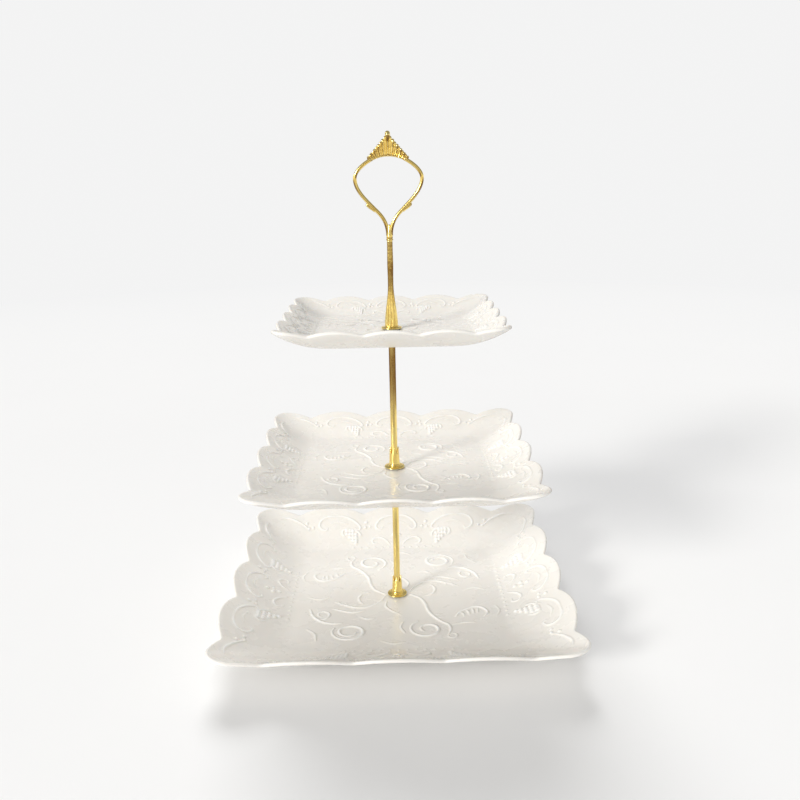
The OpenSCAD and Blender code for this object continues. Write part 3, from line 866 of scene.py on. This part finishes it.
def clear_rubber():
    """Clear soft washer, with a faint haze."""
    n = Nodes("clear_washer")
    tone = n.blend(n.ramp(n.noise(300, 3), 0.3, 0.7, 0, 1), (0.82, 0.84, 0.8), (0.74, 0.76, 0.7))
    n.link(tone, n.shader.inputs["Base Color"])
    n.link(n.ramp(n.noise(700, 3), 0.3, 0.7, 0.25, 0.45), n.shader.inputs["Roughness"])
    n.link(n.bump(n.noise(1500, 3), 0.0001, 0.3), n.shader.inputs["Normal"])
    n.set(Transmission_Weight=0.7, IOR=1.45)
    return n.material


# ---------------------------------------------------------------- studio
FLOOR_R, WALL_R, BACKDROP = 2.1, 3.2, 0.9


def make_floor():
    """Pale round floor. It fades into an evenly lit wall that sweeps up all round, so no edge shows.

    The sky above the wall is only for the camera and adds no light."""
    n = Nodes("studio_floor")
    centre = n.add("ShaderNodeTexCoord").outputs["Object"]
    length = n.add("ShaderNodeVectorMath", operation="LENGTH")
    n.link(centre, length.inputs[0])
    far = n.ramp(length.outputs["Value"], 0.75, FLOOR_R - 0.1, 0, 1)
    near_tone = n.blend(n.ramp(n.noise(3, 3), 0.3, 0.7, 0, 1), (0.865, 0.865, 0.865), (0.875, 0.875, 0.875))
    n.link(n.blend(far, near_tone, (0.0, 0.0, 0.0)), n.shader.inputs["Base Color"])
    n.link(n.ramp(n.noise(40, 3), 0.3, 0.7, 0.85, 0.95), n.shader.inputs["Roughness"])
    n.link(n.ramp(far, 0, 1, 0, BACKDROP), n.shader.inputs["Emission Strength"])
    n.shader.inputs["Emission Color"].default_value = (1, 1, 1, 1)
    n.set(Specular_IOR_Level=0.0)
    n.material.cycles.emission_sampling = "NONE"
    rings = [circle_ring(r / MM, -0.1, 96) for r in (0.001, 0.3, 0.8, 1.5, FLOOR_R)]
    floor = loft("studio_floor", rings, n.material, cap=False)
    rise = WALL_R - FLOOR_R
    arc = np.linspace(0, math.pi / 2, 16)
    sweep = [(FLOOR_R + rise * math.sin(a), rise * (1 - math.cos(a))) for a in arc]
    rings = [circle_ring(r / MM, z / MM - 0.1, 96) for r, z in sweep]
    wall = loft("studio_wall", rings, n.material, cap=False)
    wall.visible_shadow = False
    dome = [(WALL_R, rise), (WALL_R, 2 * rise), (WALL_R / 2, 3 * rise), (0.001, 3 * rise)]
    sky = loft("studio_sky", [circle_ring(r / MM, z / MM, 96) for r, z in dome], n.material, cap=False)
    sky.visible_shadow = sky.visible_diffuse = sky.visible_glossy = sky.visible_transmission = False


def make_dark_card():
    """Wide brown dish seen only in the gold, which shows it as the room round the stand."""
    n = Nodes("studio_card")
    share = n.add("ShaderNodeAttribute", attribute_name="tone").outputs["Fac"]
    n.link(n.blend(share, (0.13, 0.06, 0.03), (0.95, 0.9, 0.8)), n.shader.inputs["Emission Color"])
    n.set(Emission_Strength=1.0, Specular_IOR_Level=0.0)
    n.shader.inputs["Base Color"].default_value = (0, 0, 0, 1)
    n.material.cycles.emission_sampling = "NONE"
    profile = [(0.42, 0.004), (0.6, 0.006), (0.9, 0.02), (1.3, 0.08), (1.55, 0.2), (1.65, 0.34),
               (1.68, 0.55)]
    count = 96
    rings = [circle_ring(r / MM, z / MM, count) for r, z in profile]
    card = loft("studio_card", rings, n.material, cap=False)
    azimuth = np.arange(count) / count * TAU
    tone = 0.5 + 0.28 * np.cos(azimuth - math.radians(205)) + 0.16 * np.cos(3 * azimuth + 0.6)
    gain = np.array([0.7, 0.25, 0.06, 0.1, 0.45, 0.5, 0.3])
    base = np.array([0.5, 0.1, 0.0, 0.0, 0.15, 0.8, 1.2])
    values = np.concatenate([tone * g + b for g, b in zip(gain, base)])
    attribute = card.data.attributes.new("tone", "FLOAT", "POINT")
    attribute.data.foreach_set("value", values.astype(np.float32))
    card.visible_camera = card.visible_diffuse = card.visible_shadow = card.visible_transmission = False


def sun(name, direction, power, colour, degrees, shine=True):
    """Sun that comes from the given direction. The wider its angle, the softer its shadow."""
    data = bpy.data.lights.new(name, "SUN")
    data.energy, data.color, data.angle = power, colour, math.radians(degrees)
    lamp = bpy.data.objects.new(name, data)
    lamp.rotation_euler = Vector(direction).to_track_quat("Z", "Y").to_euler()
    lamp.visible_glossy = shine
    bpy.context.scene.collection.objects.link(lamp)


def make_lights():
    world = bpy.data.worlds.new("studio")
    bpy.context.scene.world = world
    world.use_nodes = True
    background = world.node_tree.nodes["Background"]
    background.inputs["Color"].default_value = (1, 1, 1, 1)
    background.inputs["Strength"].default_value = 0.33
    sun("key", (-1.0, -0.95, 0.53), 2.0, (1.0, 0.985, 0.955), 12)
    sun("back", (-0.2, 0.95, 1.05), 1.6, (1.0, 1.0, 1.0), 30, shine=False)
    sun("fill", (-0.3, -1.0, 0.5), 0.55, (1.0, 0.99, 0.97), 50, shine=False)


CAMERA_PLACE = (0.0003, -0.588, 0.3286)
CAMERA_PAN, CAMERA_PITCH, CAMERA_ROLL = -0.008, -0.2677, 0.0194
CAMERA_FOCAL = 833.2      # in pixels of an 800 pixel frame
FRAME_PIXELS = 800


def make_camera():
    data = bpy.data.cameras.new("camera")
    data.sensor_width = 36
    data.lens = CAMERA_FOCAL / FRAME_PIXELS * data.sensor_width
    data.clip_start, data.clip_end = 0.01, 30
    turn = (Matrix.Rotation(CAMERA_PAN, 3, "Z") @ Matrix.Rotation(CAMERA_PITCH, 3, "X")
            @ Matrix.Rotation(CAMERA_ROLL, 3, "Y"))
    right, forward, up = turn.col[0], turn.col[1], turn.col[2]
    axes = Matrix((right, up, -forward)).transposed()
    camera = bpy.data.objects.new("camera", data)
    camera.matrix_world = Matrix.Translation(CAMERA_PLACE) @ axes.to_4x4()
    bpy.context.scene.collection.objects.link(camera)
    bpy.context.scene.camera = camera
    bpy.context.scene.view_settings.view_transform = "Standard"


def main():
    glaze, bare = porcelain(), bisque()
    rod_gold, cast_gold = gilt("gilt_drawn", 0.5, 0.05, 0.4), gilt("gilt_cast", 0.25, 0.35, 0.65)
    rubber = clear_rubber()
    for plate in PLATES:
        make_plate(plate, [glaze, bare])
    for tier in ("lower", "upper"):
        make_rod(tier + "_rod", rod_gold)
        make_rod_foot(tier + "_rod_foot", cast_gold)
    for tier in ("base", "middle", "top"):
        make_disc(tier + "_disc", rod_gold)
        make_washer(tier + "_pad", rubber, "clear_pad")
        make_washer(tier + "_under_pad", rubber, "clear_pad")
        make_washer(tier + "_under_washer", rod_gold, "gilt")
    make_stem(cast_gold)
    make_neck(rod_gold)
    make_loop(rod_gold)
    make_crown(cast_gold)
    screw = frame["nodes"]["base_screw"]
    screw.data.materials.clear()
    screw.data.materials.append(rod_gold)
    make_floor()
    make_dark_card()
    make_lights()
    make_camera()


main()
